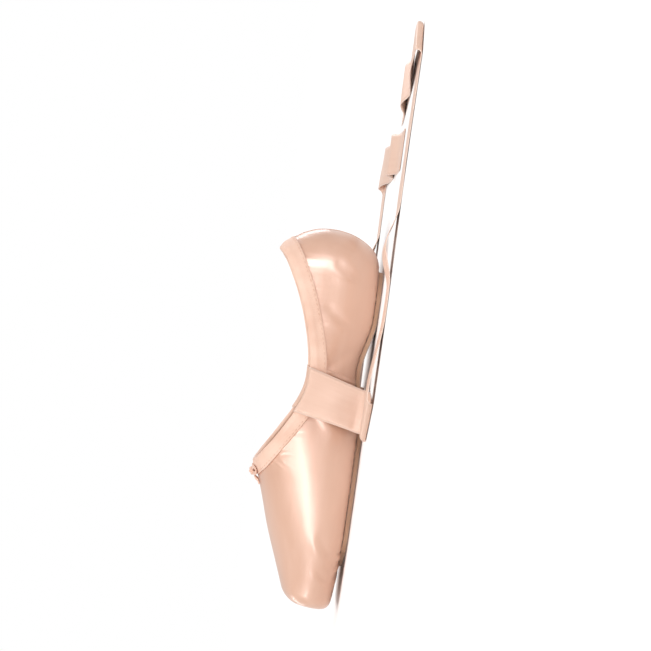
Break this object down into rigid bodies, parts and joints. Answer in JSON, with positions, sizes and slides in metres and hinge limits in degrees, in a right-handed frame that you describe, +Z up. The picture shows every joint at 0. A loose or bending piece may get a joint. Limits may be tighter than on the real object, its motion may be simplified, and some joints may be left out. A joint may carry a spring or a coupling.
{
  "type": "pointe shoe",
  "caption": "Satin ballet shoe for dancing on the toes, with a stiff toe box and flat platform, a bound collar with a small bow, a leather sole and ribbons sewn inside.",
  "frame": {"origin": "on the floor, under the middle of the shoe's own length and width, ribbons and bow apart", "axes": "+Y runs from the platform at the toe to the heel, +X to the shoe's left side, +Z up from the floor"},
  "size_m": [0.2355, 0.3459, 0.0636],
  "materials": {
    "satin": "glossy satin over a stiffened box",
    "sole_leather": "matt suede-like leather",
    "sock": "plain cotton sock over the shank board",
    "binding": "matt bias tape",
    "drawstring": "fine woven cotton",
    "ribbon_satin": "satin ribbon"
  },
  "bodies": {
    "root": {"upper": "satin", "outsole": "sole_leather", "insole": "sock", "collar_binding": "binding", "bow_knot": "drawstring", "bow_loop_left": "drawstring", "bow_loop_right": "drawstring", "bow_end_left": "drawstring", "bow_end_right": "drawstring", "ribbon_left": "ribbon_satin", "ribbon_right": "ribbon_satin"}
  },
  "joints": []
}
